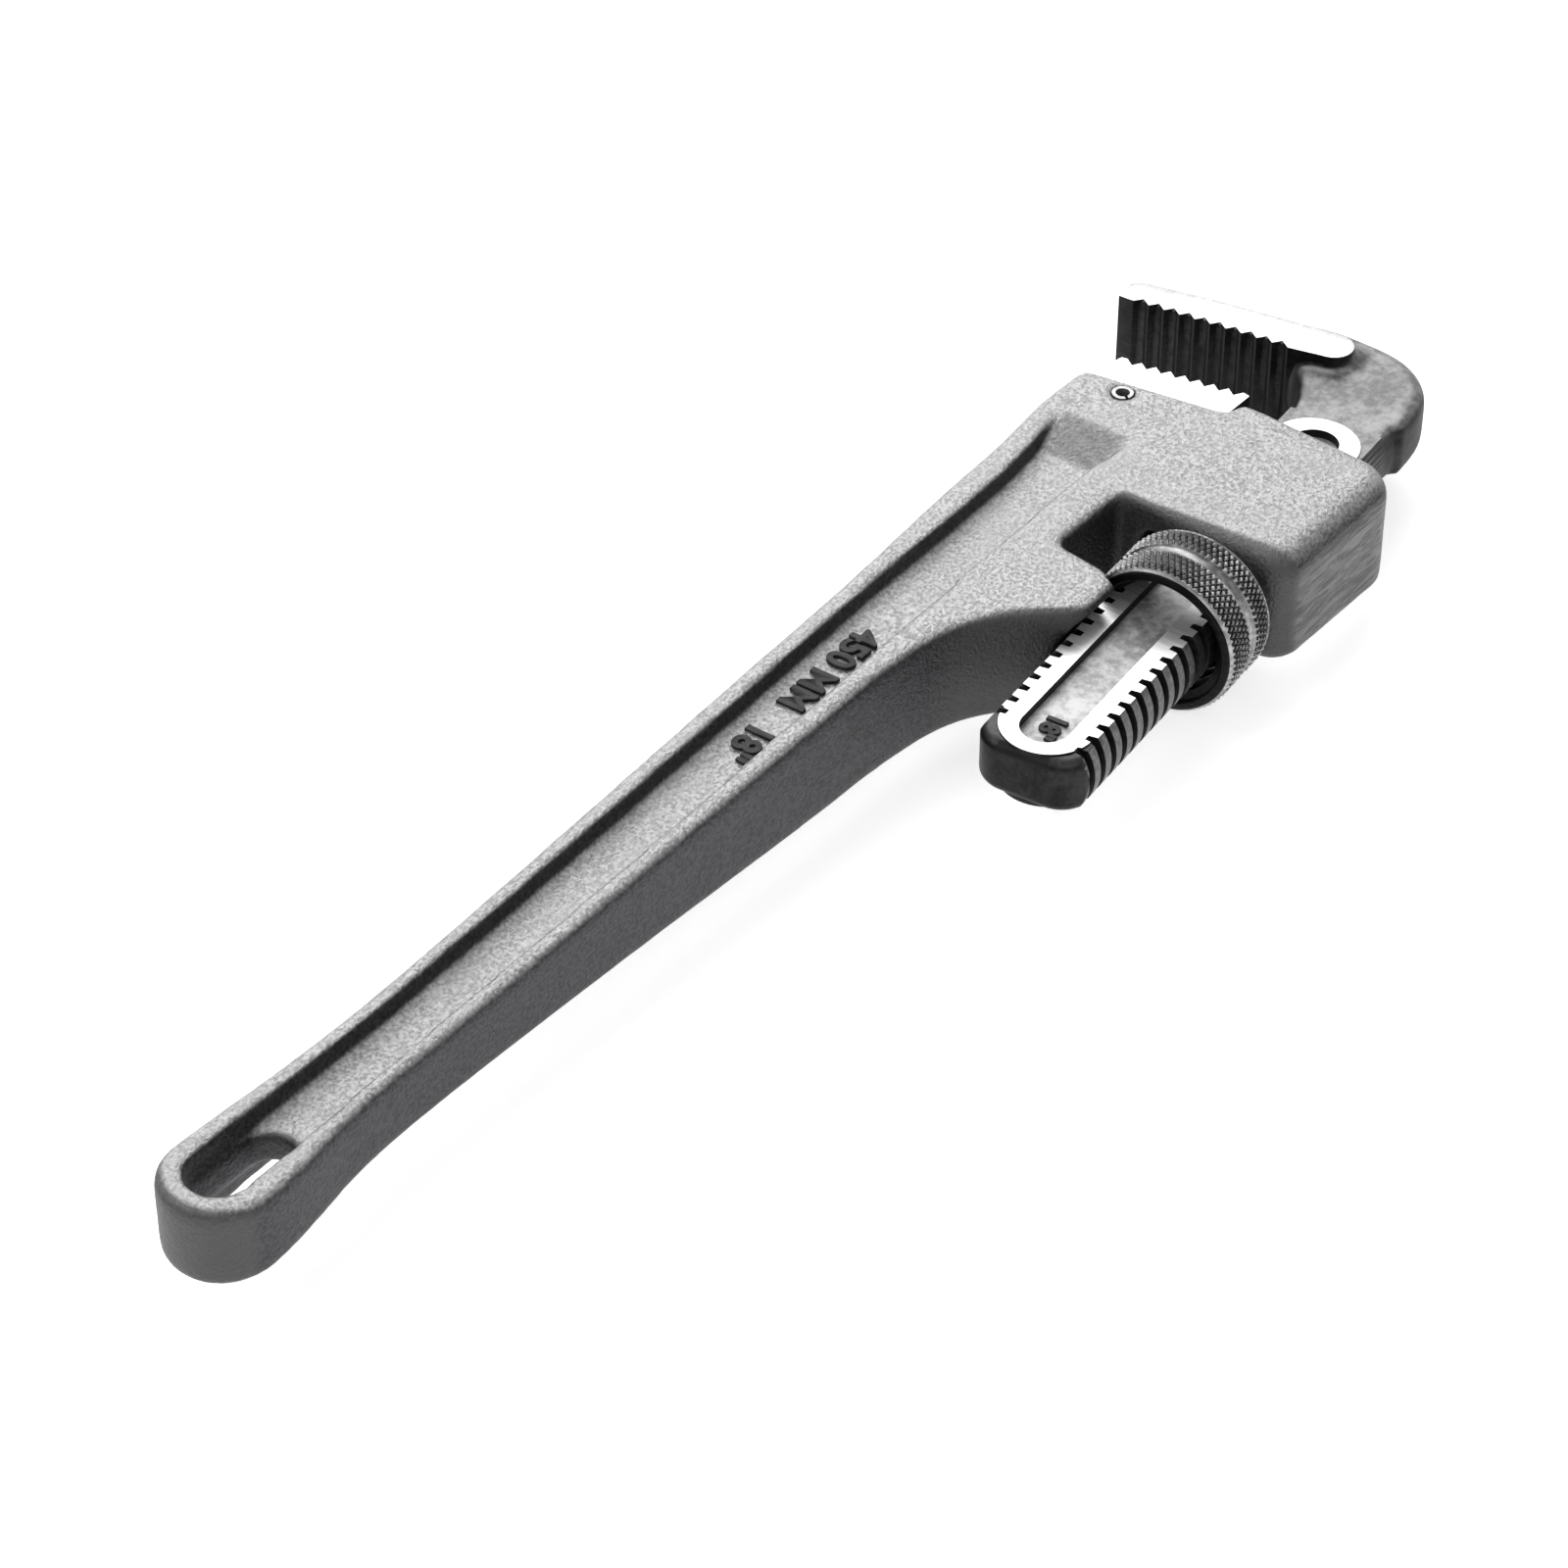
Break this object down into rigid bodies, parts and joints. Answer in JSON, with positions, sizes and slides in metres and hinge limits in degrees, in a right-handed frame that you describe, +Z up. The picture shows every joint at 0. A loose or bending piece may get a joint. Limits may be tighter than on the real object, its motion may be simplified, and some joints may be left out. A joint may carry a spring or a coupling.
{
  "type": "pipe wrench",
  "caption": "Straight pipe wrench with a cast I-beam handle, toothed hook and heel jaws, knurled adjusting nut and a sprung, screw-cut hook shank.",
  "frame": {"origin": "on the surface it rests on, under the centre of the whole wrench's outline, lying on its flat side", "axes": "+X along the handle towards the head, +Y towards the jaws' open mouth, +Z up, out of the wrench's flat side"},
  "size_m": [0.4596, 0.1128, 0.044],
  "materials": {
    "cast_aluminium": "as-cast, fine shot-blasted grain with ground edges",
    "ground_steel": "surface ground, bright",
    "forged_steel": "dark as-forged scale, with ground bright pads",
    "knurled_steel": "dark oiled steel, diamond knurled",
    "spring_steel": "plain dark spring steel"
  },
  "bodies": {
    "handle_body": {"handle": "cast_aluminium", "heel_jaw": "ground_steel", "heel_jaw_pin": "spring_steel", "coil_spring": "spring_steel"},
    "rocker": {"leaf_spring": "spring_steel", "spring_rivet": "spring_steel"},
    "hook": {"hook_jaw": "forged_steel"},
    "nut": {"adjusting_nut": "knurled_steel"}
  },
  "joints": [
    {"name": "jaw_rock", "type": "hinge", "parent": "handle_body", "child": "rocker", "pos_m": [0.09914, -0.03353, 0.022], "axis": [0, 0, 1], "range_deg": [0, 2.5], "stiffness_Nm_per_rad": 5, "springref_deg": -5.73, "deforming": ["coil_spring"]},
    {"name": "hook_slide", "type": "slide", "parent": "rocker", "child": "hook", "axis": [0.9949, 0.1011, 0], "range_m": [-0.0215, 0.04]},
    {"name": "nut_spin", "type": "hinge", "parent": "rocker", "child": "nut", "pos_m": [0.09914, -0.03353, 0.022], "axis": [0.9949, 0.1011, 0], "range_deg": [-2629, 1414]}
  ],
  "couplings": [
    {"joint": "nut_spin", "follows": "hook_slide", "rad_per_m": -1146.6}
  ]
}
